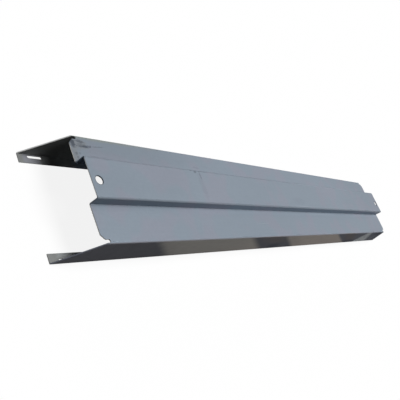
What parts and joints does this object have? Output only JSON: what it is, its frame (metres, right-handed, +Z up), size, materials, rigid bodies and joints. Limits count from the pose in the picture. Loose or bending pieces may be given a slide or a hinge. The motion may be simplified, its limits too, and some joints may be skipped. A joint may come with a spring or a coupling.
{
  "type": "steel lintel",
  "caption": "Pressed galvanised sheet-steel lintel: lipped channel with an offset stiffening rib along its web, slant-cut flange ends, bolt holes in the rib and slots in the lips.",
  "frame": {"origin": "on the floor under the middle of the length and width, on the plane of the lips' undersides", "axes": "+X along the length, +Y across the width towards the narrower low band, +Z up through the web and its rib"},
  "size_m": [1.1, 0.15, 0.0695],
  "materials": {
    "galvanised_steel": "dull galvanised sheet, smooth, blue-grey, lightly stained"
  },
  "bodies": {
    "root": {"lintel": "galvanised_steel"}
  },
  "joints": []
}
